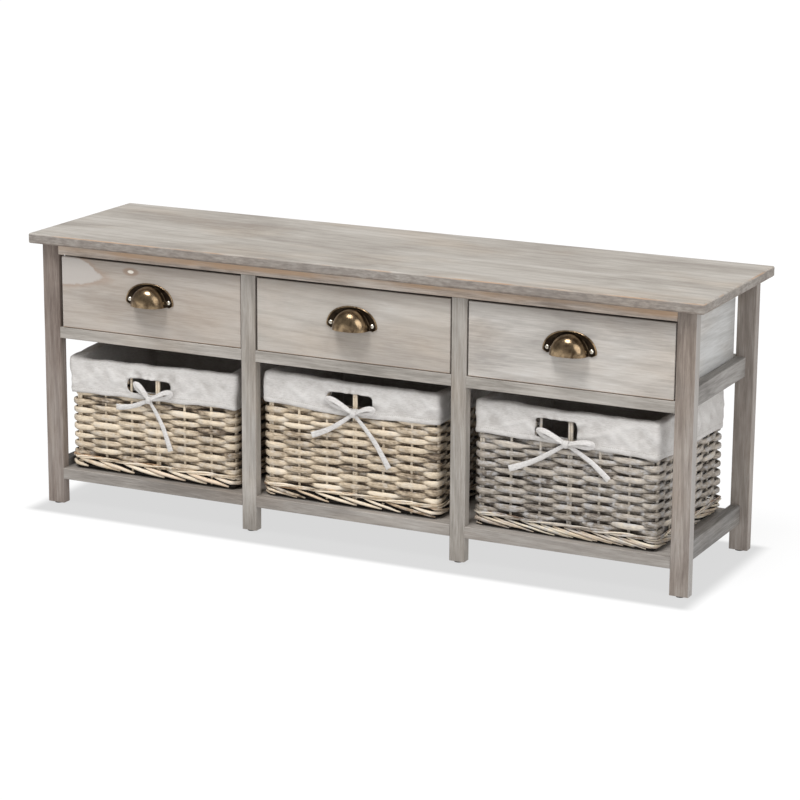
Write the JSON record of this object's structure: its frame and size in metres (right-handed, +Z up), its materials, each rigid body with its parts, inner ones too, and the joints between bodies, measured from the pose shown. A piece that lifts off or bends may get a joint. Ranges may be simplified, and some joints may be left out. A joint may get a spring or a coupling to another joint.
{
  "type": "entryway bench",
  "caption": "Low wooden storage bench with drawers above lined wicker baskets in open bays between square posts.",
  "frame": {"origin": "on the floor, under the middle of the bench", "axes": "+X along the bench to its right seen from the front, -Y towards the front, +Z up"},
  "size_m": [1.0694, 0.2986, 0.4191],
  "materials": {
    "top_wood": "grey-washed, matt",
    "frame_wood": "grey-brown wash, matt",
    "drawer_front_wood": "light grey-beige wash, matt",
    "inner_wood": "light grey, matt",
    "pull_metal": "antique, satin",
    "screw_metal": "satin",
    "glide": "matt",
    "tan_wicker": "woven willow, matt",
    "grey_wicker": "woven willow, grey-brown, matt",
    "liner_cloth": "woven cotton",
    "ribbon": "woven ribbon"
  },
  "bodies": {
    "frame": {"top_board": "top_wood", "front_left_leg": "frame_wood", "front_right_leg": "frame_wood", "rear_left_leg": "frame_wood", "rear_right_leg": "frame_wood", "front_left_post": "frame_wood", "front_right_post": "frame_wood", "rear_left_post": "frame_wood", "rear_right_post": "frame_wood", "front_top_rail": "frame_wood", "front_mid_rail_left": "frame_wood", "front_mid_rail_centre": "frame_wood", "front_mid_rail_right": "frame_wood", "front_bottom_rail_left": "frame_wood", "front_bottom_rail_centre": "frame_wood", "front_bottom_rail_right": "frame_wood", "rear_mid_rails": "frame_wood", "rear_bottom_rails": "frame_wood", "side_mid_rail_left": "frame_wood", "side_mid_rail_right": "frame_wood", "side_bottom_rail_left": "frame_wood", "side_bottom_rail_right": "frame_wood", "divider_mid_rail_left": "frame_wood", "divider_mid_rail_right": "frame_wood", "divider_bottom_rail_left": "frame_wood", "divider_bottom_rail_right": "frame_wood", "shelf_board": "inner_wood", "drawer_runners": "inner_wood", "drawer_stops": "inner_wood", "floor_glides": "glide"},
    "left_drawer": {"left_drawer_front": "drawer_front_wood", "left_drawer_left_side": "inner_wood", "left_drawer_right_side": "inner_wood", "left_drawer_back": "inner_wood", "left_drawer_bottom": "inner_wood", "left_drawer_pull": "pull_metal", "left_drawer_pull_screws": "screw_metal"},
    "left_basket_set": {"left_basket": "tan_wicker", "left_basket_liner": "liner_cloth", "left_basket_bow": "ribbon"},
    "centre_drawer": {"centre_drawer_front": "drawer_front_wood", "centre_drawer_left_side": "inner_wood", "centre_drawer_right_side": "inner_wood", "centre_drawer_back": "inner_wood", "centre_drawer_bottom": "inner_wood", "centre_drawer_pull": "pull_metal", "centre_drawer_pull_screws": "screw_metal"},
    "centre_basket_set": {"centre_basket": "tan_wicker", "centre_basket_liner": "liner_cloth", "centre_basket_bow": "ribbon"},
    "right_drawer": {"right_drawer_front": "drawer_front_wood", "right_drawer_left_side": "inner_wood", "right_drawer_right_side": "inner_wood", "right_drawer_back": "inner_wood", "right_drawer_bottom": "inner_wood", "right_drawer_pull": "pull_metal", "right_drawer_pull_screws": "screw_metal"},
    "right_basket_set": {"right_basket": "grey_wicker", "right_basket_liner": "liner_cloth", "right_basket_bow": "ribbon"}
  },
  "joints": [
    {"name": "left_drawer_slide", "type": "slide", "parent": "frame", "child": "left_drawer", "axis": [0, -1, 0], "range_m": [0, 0.18]},
    {"name": "left_basket_pull_out", "type": "slide", "parent": "frame", "child": "left_basket_set", "axis": [0, -1, 0], "range_m": [0, 0.26]},
    {"name": "centre_drawer_slide", "type": "slide", "parent": "frame", "child": "centre_drawer", "axis": [0, -1, 0], "range_m": [0, 0.18]},
    {"name": "centre_basket_pull_out", "type": "slide", "parent": "frame", "child": "centre_basket_set", "axis": [0, -1, 0], "range_m": [0, 0.26]},
    {"name": "right_drawer_slide", "type": "slide", "parent": "frame", "child": "right_drawer", "axis": [0, -1, 0], "range_m": [0, 0.18]},
    {"name": "right_basket_pull_out", "type": "slide", "parent": "frame", "child": "right_basket_set", "axis": [0, -1, 0], "range_m": [0, 0.26]}
  ]
}
